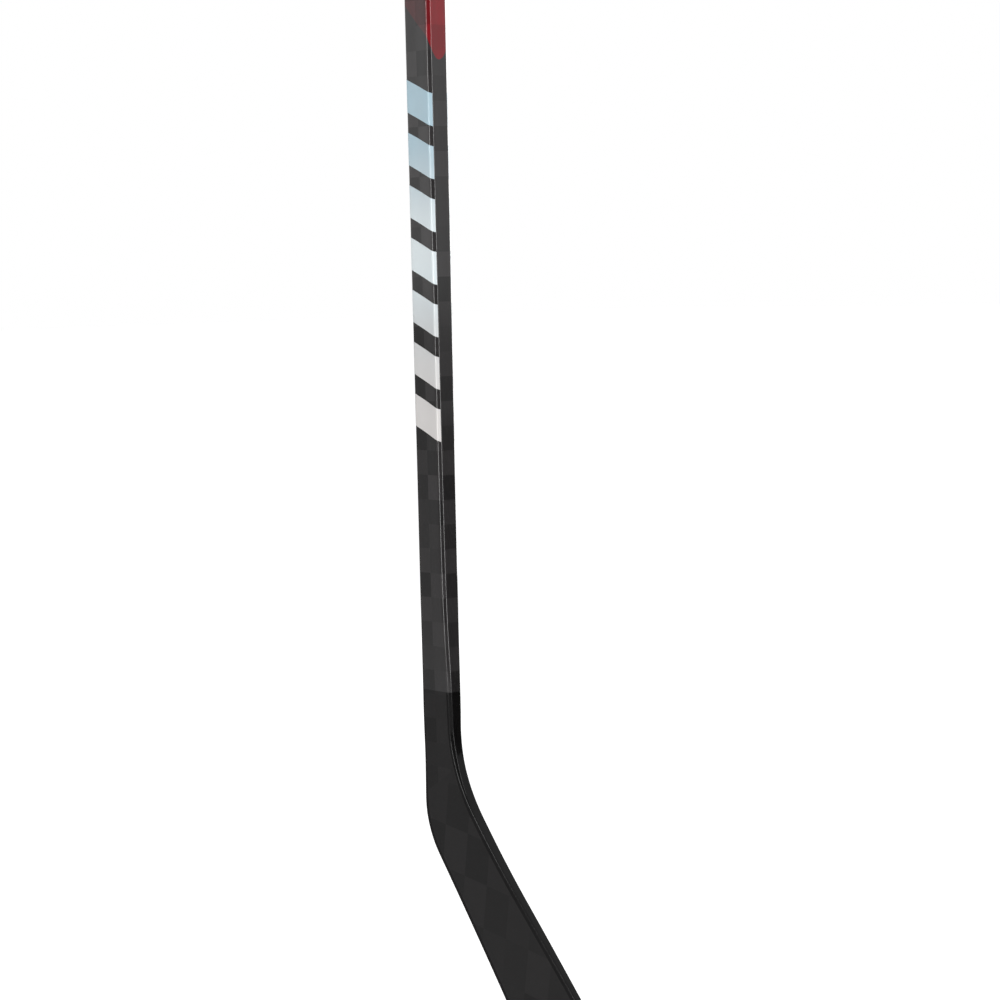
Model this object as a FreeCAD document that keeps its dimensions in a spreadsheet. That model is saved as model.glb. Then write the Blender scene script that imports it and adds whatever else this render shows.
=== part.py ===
"""One-piece composite ice hockey stick, millimetres.

Frame: the shaft runs along Z with the butt end up, +X is the toe side and -Y
the forehand (concave) face of the blade. The origin is the middle of the
top-hand grip, GripDrop below the butt. Heights in the sheet are measured up
from the heel corner, where the heel side of the shaft would meet the line of
the blade's bottom edge.

The stick is a hollow tapered laminate tube. The blade's hosel runs up into it
as a tenon, bonded in and wrapped over. The blade is two carbon skins on foam
cores with a stiffening rib between them, closed all round by an edge band.
"""
import FreeCAD, Part
import math
import os
import re

import Sketcher
from FreeCAD import Placement, Rotation, Vector

DIMENSIONS = [
    ("StickLength", 1524, "heel corner to butt, a 60 inch senior stick"),
    ("GripDrop", 75, "butt to the middle of the top hand"),
    ("ShaftWidth", 30, "wide face of the shaft"),
    ("ShaftThick", 20, "narrow face of the shaft"),
    ("CornerBevel", 2.8, "leg of the bevel on the shaft's corners"),
    ("SlimBevel", 2.3, "leg of the bevel from the knee down"),
    ("TaperHeight", 640, "below this the shaft gets thinner"),
    ("KneeHeight", 267, "end of the long taper"),
    ("KneeThick", 16.8, "shaft thickness there"),
    ("JointHeight", 200, "shaft tube ends, hosel begins"),
    ("JointWidth", 30.6, "shaft width there"),
    ("JointThick", 16.2, "shaft thickness there"),
    ("HoselHeight", 155, "middle of the hosel"),
    ("HoselWidth", 31.6, "hosel width there"),
    ("HoselThick", 15.2, "hosel thickness there"),
    ("NeckHeight", 110, "hosel ends, blade begins"),
    ("NeckWidth", 34.3, "width of the neck"),
    ("NeckThick", 13.0, "thickness of the neck"),
    ("NeckShift", 0.45, "middle of the neck, towards the toe"),
    ("ShaftWall", 1.6, "laminate of the shaft tube"),
    ("BondGap", 0.25, "adhesive between tenon and tube"),
    ("TenonWall", 1.6, "laminate of the tenon"),
    ("TenonLength", 62, "tenon inside the shaft tube"),
    ("WrapThick", 0.4, "overwrap let into both sides of the joint"),
    ("WrapReach", 22, "overwrap above and below the joint"),
    ("DampingLength", 38, "foam plug above the tenon"),
    ("CapThick", 4, "head of the butt end plug"),
    ("CapRound", 1.2, "rounded rim of that head"),
    ("PlugLength", 42, "shank of the butt end plug"),
    ("PlugFit", 0.05, "clearance of the shank in the tube"),
    ("PlugWall", 2, "wall of the hollow shank"),
    ("BottomAngle", 37, "bottom edge at the heel, from the shaft axis"),
    ("HeelRadius", 72, "rounded heel"),
    ("RockerRadius", 430, "lift of the bottom edge towards the toe"),
    ("RockerTurn", 13, "angle that the rocker turns through"),
    ("ToeReach", 42, "length of the toe past the end of the rocker"),
    ("ToeRadius", 27, "upper round of the toe"),
    ("TopAngle", 44.3, "top edge, from the shaft axis"),
    ("ThroatTop", 86, "throat curve begins, on the toe side"),
    ("ThroatRadius", 115, "tight part of the throat curve"),
    ("ThroatTurn", 38, "angle that the tight part turns through"),
    ("BlendRadius", 700, "easy part of the throat curve"),
    ("PlanAngle", 41, "line of the blade's middle, from the shaft axis"),
    ("BladeReach", 312, "heel corner to toe, along that line"),
    ("HeelThick", 9.8, "blade thickness at the heel corner"),
    ("ToeThick", 4.8, "blade thickness at the toe"),
    ("CurveDepth", 10, "offset of the toe, towards the forehand face"),
    ("SkinThick", 0.9, "laminate of each blade skin"),
    ("SkinInset", 0.8, "skins stop short of the edge by this"),
    ("BandWidth", 3.5, "edge band round the blade"),
    ("RibThick", 2.4, "stiffening rib between the cores"),
    ("RibHeight", 24, "rib above the heel corner, square to the blade's line"),
    ("FilmThick", 0.15, "printed film on the wide faces and bevels"),
    ("FilmLow", 303, "lower end of the film"),
    ("FilmLength", 276, "length of the film"),
    ("FilmMargin", 0.35, "bare strip between the film and the narrow side"),
]
SIZE = {name: value for name, value, note in DIMENSIONS}

doc = FreeCAD.newDocument("hockey_stick")
sheet = doc.addObject("Spreadsheet::Sheet", "Dims")
for row, (name, value, note) in enumerate(DIMENSIONS, start=1):
    sheet.set("A%d" % row, name)
    sheet.set("B%d" % row, str(value))
    sheet.set("C%d" % row, note)
    sheet.setAlias("B%d" % row, name)
doc.recompute()

pieces = []


def formula(text):
    """Turns the names of sizes in a formula into references to the sheet."""
    return re.sub(r"[A-Z][A-Za-z]+", lambda found: "Dims." + found.group(), text)


def level(height):
    """Formula of the Z of a height above the heel corner."""
    return "(%s) - StickLength + GripDrop" % height


def bind(thing, **formulas):
    """Binds properties to formulas; x, y and z are the placement's base."""
    for name, text in formulas.items():
        path = "Placement.Base." + name if name in "xyz" else name
        thing.setExpression(path, formula(text))
    return thing


def keep(thing):
    """Counts an object as one of the stick's pieces."""
    thing.Label = thing.Name
    pieces.append(thing)
    return thing


# ------------------------------------------------------------- sketch tools
class Constrain:
    """Adds constraints to a sketch and binds their sizes to formulas."""

    def __init__(self, sketch):
        self.sketch = sketch

    def tie(self, kind, *where):
        return self.sketch.addConstraint(Sketcher.Constraint(kind, *where))

    def size(self, kind, where, text):
        index = self.tie(kind, *where, self.measure(kind, where))
        self.sketch.setExpression("Constraints[%d]" % index, formula(text))

    def measure(self, kind, where):
        """The size as first drawn, which the formula then replaces."""
        if kind == "Radius":
            return self.sketch.Geometry[where[0]].Radius
        if len(where) == 3:
            point = self.sketch.getPoint(*where[0:2])
            line = self.sketch.Geometry[where[2]]
            return point.distanceToLine(line.StartPoint, line.EndPoint - line.StartPoint)
        first = self.sketch.getPoint(*where[0:2])
        second = self.sketch.getPoint(*where[2:4])
        step = second - first
        return {"DistanceX": step.x, "DistanceY": step.y}.get(kind, step.Length)


def bevelled_rectangle(sketch, width, thick, bevel):
    """Eight lines, symmetric about both axes, driven by three formulas."""
    half_w, half_t, leg = 15, 10, 3
    corners = [
        (half_w - leg, -half_t), (half_w, -half_t + leg),
        (half_w, half_t - leg), (half_w - leg, half_t),
        (-half_w + leg, half_t), (-half_w, half_t - leg),
        (-half_w, -half_t + leg), (-half_w + leg, -half_t),
    ]
    points = [Vector(x, y, 0) for x, y in corners]
    count = len(points)
    for i in range(count):
        sketch.addGeometry(Part.LineSegment(points[i], points[(i + 1) % count]), False)
    make = Constrain(sketch)
    for i in range(count):
        make.tie("Coincident", i, 2, (i + 1) % count, 1)
    for right, left in ((0, 7), (1, 6), (2, 5), (3, 4)):
        make.tie("Symmetric", right, 1, left, 1, -2)
    for low, high in ((0, 3), (1, 2)):
        make.tie("Symmetric", low, 1, high, 1, -1)
    make.size("DistanceX", (6, 1, 1, 1), width)
    make.size("DistanceY", (0, 1, 3, 1), thick)
    make.size("DistanceX", (0, 1, 1, 1), bevel)
    make.size("DistanceY", (0, 1, 1, 1), bevel)


# ----------------------------------------------- booleans and other tools
def cut(name, base, *tools):
    """Base less each tool in turn; the last cut has the name."""
    for i, tool in enumerate(tools):
        last = i == len(tools) - 1
        made = doc.addObject("Part::Cut", name if last else "%s_cut_%d" % (name, i))
        made.Base = base
        made.Tool = tool
        base = made
    return base


def pair(kind, name, base, tool):
    """Part::Common or Part::Fuse of two objects."""
    made = doc.addObject("Part::" + kind, name)
    made.Base = base
    made.Tool = tool
    return made


BOX_SIDE = 400  # construction boxes reach past the stick on every side


def slice_box(name, low, high):
    """A box across the whole shaft between two heights."""
    box = doc.addObject("Part::Box", name)
    box.Length = BOX_SIDE
    box.Width = BOX_SIDE
    box.Placement = Placement(Vector(-BOX_SIDE / 2, -BOX_SIDE / 2, 0), Rotation())
    return bind(box, z=level(low), Height="(%s) - (%s)" % (high, low))


# ------------------------------------------------------------------- shaft
# name, height, width, thickness, bevel and middle of each section
TUBE_TOP = "StickLength - CapThick"
TENON_TOP = "JointHeight + TenonLength"
STATIONS = [
    ("neck", "NeckHeight", "NeckWidth", "NeckThick", "SlimBevel", "NeckShift"),
    ("hosel", "HoselHeight", "HoselWidth", "HoselThick", "SlimBevel", "NeckShift / 2"),
    ("joint", "JointHeight", "JointWidth", "JointThick", "SlimBevel", "0"),
    ("knee", "KneeHeight", "ShaftWidth", "KneeThick", "SlimBevel", "0"),
    ("taper", "TaperHeight", "ShaftWidth", "ShaftThick", "CornerBevel", "0"),
    ("butt", TUBE_TOP, "ShaftWidth", "ShaftThick", "CornerBevel", "0"),
]
BEVEL_SHARE = round(2 - math.sqrt(2), 6)  # a 45 degree bevel's leg follows an offset


def grown(sketch, width, thick, bevel, growth):
    """A section of the shaft with all its sides moved outwards by growth."""
    bevelled_rectangle(
        sketch,
        "%s + 2 * (%s)" % (width, growth),
        "%s + 2 * (%s)" % (thick, growth),
        "%s + %s * (%s)" % (bevel, BEVEL_SHARE, growth),
    )


def shaft_form(name, growth):
    """Neck to butt as one solid, its sides moved outwards by growth."""
    sections = []
    for station, height, width, thick, bevel, middle in STATIONS:
        sketch = doc.addObject("Sketcher::SketchObject", "%s_at_%s" % (name, station))
        grown(sketch, width, thick, bevel, growth)
        sections.append(bind(sketch, x=middle, z=level(height)))
    form = doc.addObject("Part::Loft", name)
    form.Sections = sections
    form.Solid = True
    form.Ruled = True
    return form


TENON_OFFSET = "ShaftWall + BondGap"
outer_form = shaft_form("outer_form", "0")
wrap_form = shaft_form("wrap_form", "0 - WrapThick")
bore_form = shaft_form("bore_form", "0 - ShaftWall")
tenon_form = shaft_form("tenon_form", "0 - (%s)" % TENON_OFFSET)
foam_form = shaft_form("foam_form", "0 - (%s + TenonWall)" % TENON_OFFSET)
film_form = shaft_form("film_form", "FilmThick")

tube_zone = slice_box("tube_zone", "JointHeight", TUBE_TOP)
hosel_zone = slice_box("hosel_zone", "NeckHeight", "JointHeight")
tenon_zone = slice_box("tenon_zone", "JointHeight", TENON_TOP)
foam_zone = slice_box("foam_zone", "NeckHeight", TENON_TOP)
damping_zone = slice_box("damping_zone", TENON_TOP, TENON_TOP + " + DampingLength")
wrap_zone = slice_box("wrap_zone", "JointHeight - WrapReach", "JointHeight + WrapReach")


def build_joint_wrap():
    blank = pair("Common", "wrap_blank", outer_form, wrap_zone)
    return keep(cut("joint_wrap", blank, wrap_form))


def build_shaft_tube(wrap):
    blank = pair("Common", "tube_blank", outer_form, tube_zone)
    return keep(cut("shaft_tube", blank, bore_form, wrap))


def build_hosel(wrap):
    outside = pair("Common", "hosel_outside", outer_form, hosel_zone)
    tenon = pair("Common", "tenon_outside", tenon_form, tenon_zone)
    blank = pair("Fuse", "hosel_blank", outside, tenon)
    return keep(cut("hosel_shell", blank, foam_form, wrap))


def build_inside_shaft():
    """Adhesive round the tenon, foam in the hosel and foam above the tenon."""
    glue = pair("Common", "glue_blank", bore_form, tenon_zone)
    keep(cut("tenon_bond", glue, tenon_form))
    keep(pair("Common", "hosel_core", foam_form, foam_zone))
    keep(pair("Common", "damping_plug", bore_form, damping_zone))


def plane_of(body, role):
    return next(f for f in body.Origin.OriginFeatures if f.Role == role)


def sketch_in(body, name, role="XY_Plane"):
    sketch = body.newObject("Sketcher::SketchObject", name)
    sketch.AttachmentSupport = [(plane_of(body, role), "")]
    sketch.MapMode = "FlatFace"
    return sketch


def build_butt_end_plug():
    """Head over the tube's end, with a hollow shank pressed into the tube."""
    body = doc.addObject("PartDesign::Body", "butt_end_plug")
    bind(body, z=level(TUBE_TOP))
    head_sketch = sketch_in(body, "plug_head_section")
    grown(head_sketch, "ShaftWidth", "ShaftThick", "CornerBevel", "0")
    head = body.newObject("PartDesign::Pad", "plug_head")
    head.Profile = head_sketch
    bind(head, Length="CapThick")
    doc.recompute()
    top = SIZE["CapThick"]
    rim = ["Edge%d" % (i + 1) for i, edge in enumerate(head.Shape.Edges)
           if all(abs(v.Z - top) < 1e-6 for v in edge.Vertexes)]
    rounded = body.newObject("PartDesign::Fillet", "plug_rim")
    rounded.Base = (head, rim)
    bind(rounded, Radius="CapRound")
    shank_sketch = sketch_in(body, "plug_shank_section")
    grown(shank_sketch, "ShaftWidth", "ShaftThick", "CornerBevel",
          "0 - (ShaftWall + PlugFit)")
    shank = body.newObject("PartDesign::Pad", "plug_shank")
    shank.Profile = shank_sketch
    shank.Reversed = True
    bind(shank, Length="PlugLength")
    hollow_sketch = sketch_in(body, "plug_hollow_section")
    grown(hollow_sketch, "ShaftWidth", "ShaftThick", "CornerBevel",
          "0 - (ShaftWall + PlugFit + PlugWall)")
    hollow = body.newObject("PartDesign::Pocket", "plug_hollow")
    hollow.Profile = hollow_sketch
    bind(hollow, Length="PlugLength")
    return keep(body)


def build_films():
    """Thin printed film on each wide face and its bevels."""
    half_width = "(ShaftWidth / 2 - FilmMargin)"
    for name, reach_back in (("front_film", BOX_SIDE / 2), ("back_film", 0)):
        zone = slice_box(name + "_zone", "FilmLow", "FilmLow + FilmLength")
        bind(zone, x="0 - %s" % half_width, Length="2 * %s" % half_width)
        zone.Width = BOX_SIDE / 2
        zone.Placement.Base.y = -reach_back
        blank = pair("Common", name + "_blank", film_form, zone)
        keep(cut(name, blank, outer_form))


# ------------------------------------------------------------------- blade
HEEL_X = "NeckShift - NeckWidth / 2"   # heel side of the neck
THROAT_X = "NeckShift + NeckWidth / 2"  # toe side of the neck


class Track:
    """Walks along an edge, straight or turning left, and draws it."""

    def __init__(self, sketch, point, heading):
        self.sketch = sketch
        self.point = Vector(*point, 0)
        self.heading = math.radians(heading)
        self.last = None
        self.parts = []

    def aim(self, turn=0):
        angle = self.heading + turn
        return Vector(math.cos(angle), math.sin(angle), 0)

    def join(self, index, start, end):
        """Tangent to the last stretch at the shared point."""
        if self.last is not None:
            before, before_end = self.last
            tangent = Sketcher.Constraint("Tangent", before, before_end, index, start)
            self.sketch.addConstraint(tangent)
        self.last = (index, end)
        self.parts.append(index)
        return index

    def straight(self, length):
        end = self.point + self.aim() * length
        line = Part.LineSegment(self.point, end)
        self.point = end
        return self.join(self.sketch.addGeometry(line, False), 1, 2)

    def left(self, radius, turn):
        turn = math.radians(turn)
        middle = self.point + self.aim(math.pi / 2) * radius
        first = self.heading - math.pi / 2
        circle = Part.Circle(middle, Vector(0, 0, 1), radius)
        arc = Part.ArcOfCircle(circle, first, first + turn)
        self.heading += turn
        self.point = middle + self.aim(-math.pi / 2) * radius
        return self.join(self.sketch.addGeometry(arc, False), 1, 2)


def heel_tangent():
    """Distance from the heel corner to either end of the heel's round."""
    return SIZE["HeelRadius"] * math.tan(math.radians(SIZE["BottomAngle"] / 2))


def along(heading):
    return Vector(math.cos(heading), math.sin(heading), 0)


def flat_length(start, heading, corner, line):
    """Straight part of the bottom edge that puts the rocker's end in place."""
    turn = math.radians(SIZE["RockerTurn"])
    chord = 2 * SIZE["RockerRadius"] * math.sin(turn / 2)
    rocker = along(heading + turn / 2) * chord
    wanted = SIZE["BladeReach"] - SIZE["ToeReach"]
    return (wanted - (start + rocker - corner).dot(line)) / along(heading).dot(line)


def toe_rounds(low, top, corner, line):
    """Radius and turn of the toe's lower round, and the top edge's length."""
    radius = SIZE["ToeRadius"]
    edge = along(top.heading)
    inwards = Vector(edge.y, -edge.x, 0)
    start = top.point + inwards * radius
    length = SIZE["BladeReach"] - radius - (start - corner).dot(line)
    length = length / edge.dot(line)
    middle = start + edge * length
    step = middle - low.point
    side = along(low.heading + math.pi / 2)
    low_radius = (step.dot(step) - radius ** 2) / (2 * (step.dot(side) - radius))
    ray = middle - (low.point + side * low_radius)
    turn = math.atan2(ray.y, ray.x) - (low.heading - math.pi / 2)
    return low_radius, math.degrees(turn), length


def build_outline():
    """The blade's outline, seen square to the forehand face."""
    sketch = doc.addObject("Sketcher::SketchObject", "blade_outline")
    make = Constrain(sketch)
    heel_x = SIZE["NeckShift"] - SIZE["NeckWidth"] / 2
    throat_x = SIZE["NeckShift"] + SIZE["NeckWidth"] / 2

    corner = Vector(heel_x, 0, 0)
    line = along(math.radians(SIZE["PlanAngle"] - 90))

    low = Track(sketch, (heel_x, SIZE["NeckHeight"]), -90)
    heel_side = low.straight(SIZE["NeckHeight"] - heel_tangent())
    heel = low.left(SIZE["HeelRadius"], SIZE["BottomAngle"])
    low.straight(flat_length(low.point, low.heading, corner, line))
    rocker = low.left(SIZE["RockerRadius"], SIZE["RockerTurn"])

    top = Track(sketch, (throat_x, SIZE["NeckHeight"]), -90)
    throat_side = top.straight(SIZE["NeckHeight"] - SIZE["ThroatTop"])
    throat = top.left(SIZE["ThroatRadius"], SIZE["ThroatTurn"])
    blend = top.left(SIZE["BlendRadius"], SIZE["TopAngle"] - SIZE["ThroatTurn"])

    low_radius, turn, length = toe_rounds(low, top, corner, line)
    low.left(low_radius, turn)
    rest = math.degrees(top.heading - low.heading) + 180
    toe_top = low.left(SIZE["ToeRadius"], rest)
    top_edge = top.straight(length)
    make.tie("Tangent", toe_top, 2, top_edge, 2)

    start = sketch.Geometry[throat_side].StartPoint
    end = sketch.Geometry[heel_side].StartPoint
    neck = sketch.addGeometry(Part.LineSegment(start, end), False)
    make.tie("Coincident", neck, 1, throat_side, 1)
    make.tie("Coincident", neck, 2, heel_side, 1)
    make.tie("Horizontal", neck)
    make.tie("Vertical", heel_side)
    make.tie("Vertical", throat_side)

    toe_point = corner + line * SIZE["BladeReach"]
    middle_line = sketch.addGeometry(Part.LineSegment(corner, toe_point), True)
    square = along(math.radians(SIZE["PlanAngle"])) * SIZE["NeckWidth"]
    toe_line = sketch.addGeometry(Part.LineSegment(toe_point, toe_point + square), True)
    make.tie("PointOnObject", middle_line, 1, -1)
    make.tie("Coincident", middle_line, 2, toe_line, 1)
    make.tie("Perpendicular", middle_line, toe_line)
    make.tie("Tangent", toe_top, toe_line)
    make.size("DistanceX", (middle_line, 1, -1, 1), "0 - (%s)" % HEEL_X)
    make.size("DistanceX", (middle_line, 1, middle_line, 2),
              "BladeReach * sin(PlanAngle)")
    make.size("DistanceY", (middle_line, 2, middle_line, 1),
              "BladeReach * cos(PlanAngle)")
    make.size("Distance", (toe_line, 1, toe_line, 2), "NeckWidth")

    make.size("DistanceX", (heel_side, 1, -1, 1), "0 - (%s)" % HEEL_X)
    make.size("DistanceX", (-1, 1, throat_side, 1), THROAT_X)
    make.size("DistanceY", (-1, 1, heel_side, 1), "NeckHeight")
    make.size("DistanceY", (-1, 1, heel_side, 2), "HeelRadius * tan(BottomAngle / 2)")
    make.size("DistanceY", (-1, 1, throat_side, 2), "ThroatTop")
    make.size("Distance", (rocker, 2, toe_line), "ToeReach")
    for arc, radius, turn in (
        (heel, "HeelRadius", "BottomAngle"), (rocker, "RockerRadius", "RockerTurn"),
        (throat, "ThroatRadius", "ThroatTurn"),
        (blend, "BlendRadius", "(TopAngle - ThroatTurn)"),
    ):
        chord = "2 * %s * sin(%s / 2)" % (radius, turn)
        make.size("Distance", (arc, 1, arc, 2), chord)
    for arc, radius in (
        (heel, "HeelRadius"), (rocker, "RockerRadius"), (toe_top, "ToeRadius"),
        (throat, "ThroatRadius"), (blend, "BlendRadius"),
    ):
        make.size("Radius", (arc,), radius)
    sketch.Placement = Placement(Vector(), Rotation(Vector(1, 0, 0), 90))
    return bind(sketch, z=level("0"))


def extrude(name, sketch, reach):
    """A prism that reaches the same way to both sides of its sketch."""
    prism = doc.addObject("Part::Extrusion", name)
    prism.Base = sketch
    prism.DirMode = "Normal"
    prism.LengthFwd = 2 * reach
    prism.Symmetric = True
    prism.Solid = True
    return prism


PRISM_REACH = 200  # construction prisms of the blade reach this far


def inset_prism(name, outline, inset):
    """The outline moved inwards, as a prism."""
    smaller = doc.addObject("Part::Offset2D", name + "_outline")
    smaller.Source = outline
    smaller.Fill = False
    bind(smaller, Value="0 - " + inset)
    return extrude(name, smaller, PRISM_REACH)


def on_blade_line(thing, along="0", up="0", back="0"):
    """Places a thing at the heel corner, its X along the blade's middle line."""
    thing.Placement = Placement(Vector(), Rotation(Vector(0, 1, 0), 1))
    bind(thing, x="%s + (%s) * sin(PlanAngle) + (%s) * cos(PlanAngle)" % (HEEL_X, along, up),
         z="%s - (%s) * cos(PlanAngle) + (%s) * sin(PlanAngle)" % (level("0"), along, up),
         y="0 - (%s)" % back)
    thing.setExpression("Placement.Rotation.Angle", "90 deg - Dims.PlanAngle * 1 deg")
    return thing


# the neck is this far up the blade's line from the heel corner, and the
# thickness forms start a little further up
NECK_REACH = "(NeckHeight * cos(PlanAngle) + (%s) * sin(PlanAngle))" % HEEL_X
OVERRUN = 1.3
TOE_MARGIN = 2
PLAN_RADIUS = "(BladeReach * BladeReach / (2 * CurveDepth))"


def blade_form(name, low_side, low_inset, high_side, high_inset):
    """A curved slab between two faces of the blade, each a side and an inset."""
    plan = doc.addObject("Sketcher::SketchObject", name + "_plan")
    make = Constrain(plan)
    slope = math.radians(SIZE["PlanAngle"])
    heel_x = SIZE["NeckShift"] - SIZE["NeckWidth"] / 2
    start = -OVERRUN * (SIZE["NeckHeight"] * math.cos(slope) + heel_x * math.sin(slope))
    end, depth = SIZE["BladeReach"] + TOE_MARGIN, SIZE["CurveDepth"]
    radius = SIZE["BladeReach"] ** 2 / (2 * depth)
    edges = []
    for side, inset in ((low_side, low_inset), (high_side, high_inset)):
        heel_y = side * (SIZE["HeelThick"] / 2 - SIZE["SkinThick"] * bool(inset))
        toe_y = heel_y * SIZE["ToeThick"] / SIZE["HeelThick"] - depth
        neck_y = heel_y + side * (SIZE["NeckThick"] - SIZE["HeelThick"]) * OVERRUN / 2
        chord = Vector(end, toe_y - heel_y, 0)
        sagitta = radius - math.sqrt(radius ** 2 - chord.Length ** 2 / 4)
        bulge = Vector(-chord.y, chord.x, 0).normalize() * sagitta
        heel_point = Vector(0, heel_y, 0)
        toe_point = Vector(end, toe_y, 0)
        crown = (heel_point + toe_point) * 0.5 + bulge
        line = Part.LineSegment(Vector(start, neck_y, 0), heel_point)
        arc = Part.Arc(toe_point, crown, heel_point)
        line_at = plan.addGeometry(line, False)
        arc_at = plan.addGeometry(arc, False)
        edges.append((line_at, arc_at))
        make.tie("Coincident", line_at, 2, arc_at, 2)
        make.size("DistanceX", (line_at, 1, -1, 1), "%s * %s" % (OVERRUN, NECK_REACH))
        make.tie("PointOnObject", line_at, 2, -2)
        make.size("DistanceX", (-1, 1, arc_at, 1), "BladeReach + %s" % TOE_MARGIN)
        make.size("Radius", (arc_at,), PLAN_RADIUS)
        heel_half = "%d * (HeelThick / 2 - %s)" % (side, inset or "0")
        gain = "%d * %s * (NeckThick - HeelThick) / 2" % (side, OVERRUN)
        toe_half = "%d * (ToeThick / 2 - %s)" % (side, inset or "0")
        make.size("DistanceY", (-1, 1, line_at, 2), heel_half)
        make.size("DistanceY", (-1, 1, line_at, 1), "%s + %s" % (heel_half, gain))
        make.size("DistanceY", (-1, 1, arc_at, 1), "%s - CurveDepth" % toe_half)
    (low_line, low_arc), (high_line, high_arc) = edges
    for first, second in (((low_line, 1), (high_line, 1)), ((low_arc, 1), (high_arc, 1))):
        ends = [plan.getPoint(*first), plan.getPoint(*second)]
        closing = plan.addGeometry(Part.LineSegment(*ends), False)
        make.tie("Coincident", closing, 1, *first)
        make.tie("Coincident", closing, 2, *second)
    on_blade_line(plan)
    return extrude(name, plan, PRISM_REACH)


def side_of_rib(name, up, height):
    """A box along the blade's line, from a height above the heel corner."""
    box = doc.addObject("Part::Box", name)
    box.Length = 4 * PRISM_REACH
    box.Width = 2 * PRISM_REACH
    bind(box, Height=height)
    return on_blade_line(box, along="0 - %d" % (2 * PRISM_REACH), up=up,
                         back="%d" % PRISM_REACH)


def build_blade():
    outline = build_outline()
    full = extrude("blade_prism", outline, PRISM_REACH)
    skin_prism = inset_prism("skin_prism", outline, "SkinInset")
    core_prism = inset_prism("core_prism", outline, "BandWidth")
    front_form = blade_form("front_skin_form", -1, "", -1, "SkinThick")
    middle_form = blade_form("middle_form", -1, "SkinThick", 1, "SkinThick")
    back_form = blade_form("back_skin_form", 1, "SkinThick", 1, "")
    keep(pair("Common", "blade_front_skin", skin_prism, front_form))
    keep(pair("Common", "blade_back_skin", skin_prism, back_form))
    middle = pair("Common", "blade_middle", full, middle_form)
    keep(cut("blade_edge_band", middle, core_prism))
    core = pair("Common", "blade_core", core_prism, middle_form)
    rib_zone = side_of_rib("rib_zone", "RibHeight", "RibThick")
    below = side_of_rib("below_rib", "RibHeight - %d" % PRISM_REACH, "%d" % PRISM_REACH)
    above = side_of_rib("above_rib", "RibHeight + RibThick", "%d" % PRISM_REACH)
    keep(pair("Common", "blade_rib", core, rib_zone))
    keep(pair("Common", "blade_lower_core", core, below))
    keep(pair("Common", "blade_upper_core", core, above))


# ------------------------------------------------------------ build, check
joint_wrap = build_joint_wrap()
build_shaft_tube(joint_wrap)
build_hosel(joint_wrap)
build_inside_shaft()
build_butt_end_plug()
build_films()
build_blade()
doc.recompute()

for thing in doc.Objects:
    if "Invalid" in thing.State or "Error" in thing.State:
        raise SystemExit("%s failed: %s" % (thing.Name, thing.State))
for piece in pieces:
    if piece.Shape.isNull() or not piece.Shape.isValid():
        raise SystemExit("%s has no valid shape" % piece.Label)

os.makedirs("parts", exist_ok=True)
for piece in pieces:
    piece.Shape.exportStep("parts/%s.step" % piece.Label)
    box = piece.Shape.BoundBox
    print("%-18s solids %d  volume %10.1f  z %8.1f to %8.1f  x %6.1f to %6.1f  y %6.1f to %6.1f" % (
        piece.Label, len(piece.Shape.Solids), piece.Shape.Volume,
        box.ZMin, box.ZMax, box.XMin, box.XMax, box.YMin, box.YMax))
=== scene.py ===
# %% [markdown]
# # A one-piece composite ice hockey stick
# The stick is a hollow tapered carbon tube. A hosel is bonded into its lower
# end and runs into a thin curved blade. Every cell below adds one piece or one
# finish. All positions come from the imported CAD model, which is loaded first:
# the shaft runs along Z with the butt up, +X is the toe side, and -Y is the
# forehand face.

# %% Load the frame
import bmesh
import bpy
import math
from mathutils import Matrix, Vector


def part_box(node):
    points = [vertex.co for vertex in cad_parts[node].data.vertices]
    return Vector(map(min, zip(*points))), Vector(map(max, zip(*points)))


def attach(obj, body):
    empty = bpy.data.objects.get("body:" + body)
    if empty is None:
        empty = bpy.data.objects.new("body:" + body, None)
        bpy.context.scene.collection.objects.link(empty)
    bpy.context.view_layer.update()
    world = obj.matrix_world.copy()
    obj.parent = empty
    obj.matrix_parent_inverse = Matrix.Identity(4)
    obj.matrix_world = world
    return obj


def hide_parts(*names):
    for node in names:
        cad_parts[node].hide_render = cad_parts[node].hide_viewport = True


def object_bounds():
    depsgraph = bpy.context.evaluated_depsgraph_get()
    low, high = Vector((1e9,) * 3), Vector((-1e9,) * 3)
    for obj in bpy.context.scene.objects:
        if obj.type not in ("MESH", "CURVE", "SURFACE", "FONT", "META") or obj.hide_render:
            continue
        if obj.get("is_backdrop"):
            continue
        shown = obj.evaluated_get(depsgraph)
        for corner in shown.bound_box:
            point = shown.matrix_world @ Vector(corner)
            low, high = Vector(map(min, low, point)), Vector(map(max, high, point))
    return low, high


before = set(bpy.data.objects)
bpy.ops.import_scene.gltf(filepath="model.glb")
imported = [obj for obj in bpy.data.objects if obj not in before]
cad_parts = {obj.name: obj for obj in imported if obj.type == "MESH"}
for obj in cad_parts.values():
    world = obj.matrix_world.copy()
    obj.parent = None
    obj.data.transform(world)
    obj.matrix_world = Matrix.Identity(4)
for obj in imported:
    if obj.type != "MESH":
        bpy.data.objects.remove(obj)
cad_low, cad_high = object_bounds()
tube_low, tube_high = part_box("shaft_tube")
hosel_low, hosel_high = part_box("hosel_shell")
wrap_low, wrap_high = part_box("joint_wrap")
plug_low, plug_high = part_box("butt_end_plug")
film_low, film_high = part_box("front_film")
print("stick", [round(v, 3) for v in cad_high - cad_low], "m")

# %% [markdown]
# ## Camera
# The stick is seen from its forehand side, turned so that one wide face and
# one narrow side show. A long lens keeps the shaft almost parallel. The
# camera is placed from a point on the shaft's axis, so it stays right if the
# stick's length changes. It leans a little, as a hand-held stick does.

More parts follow.
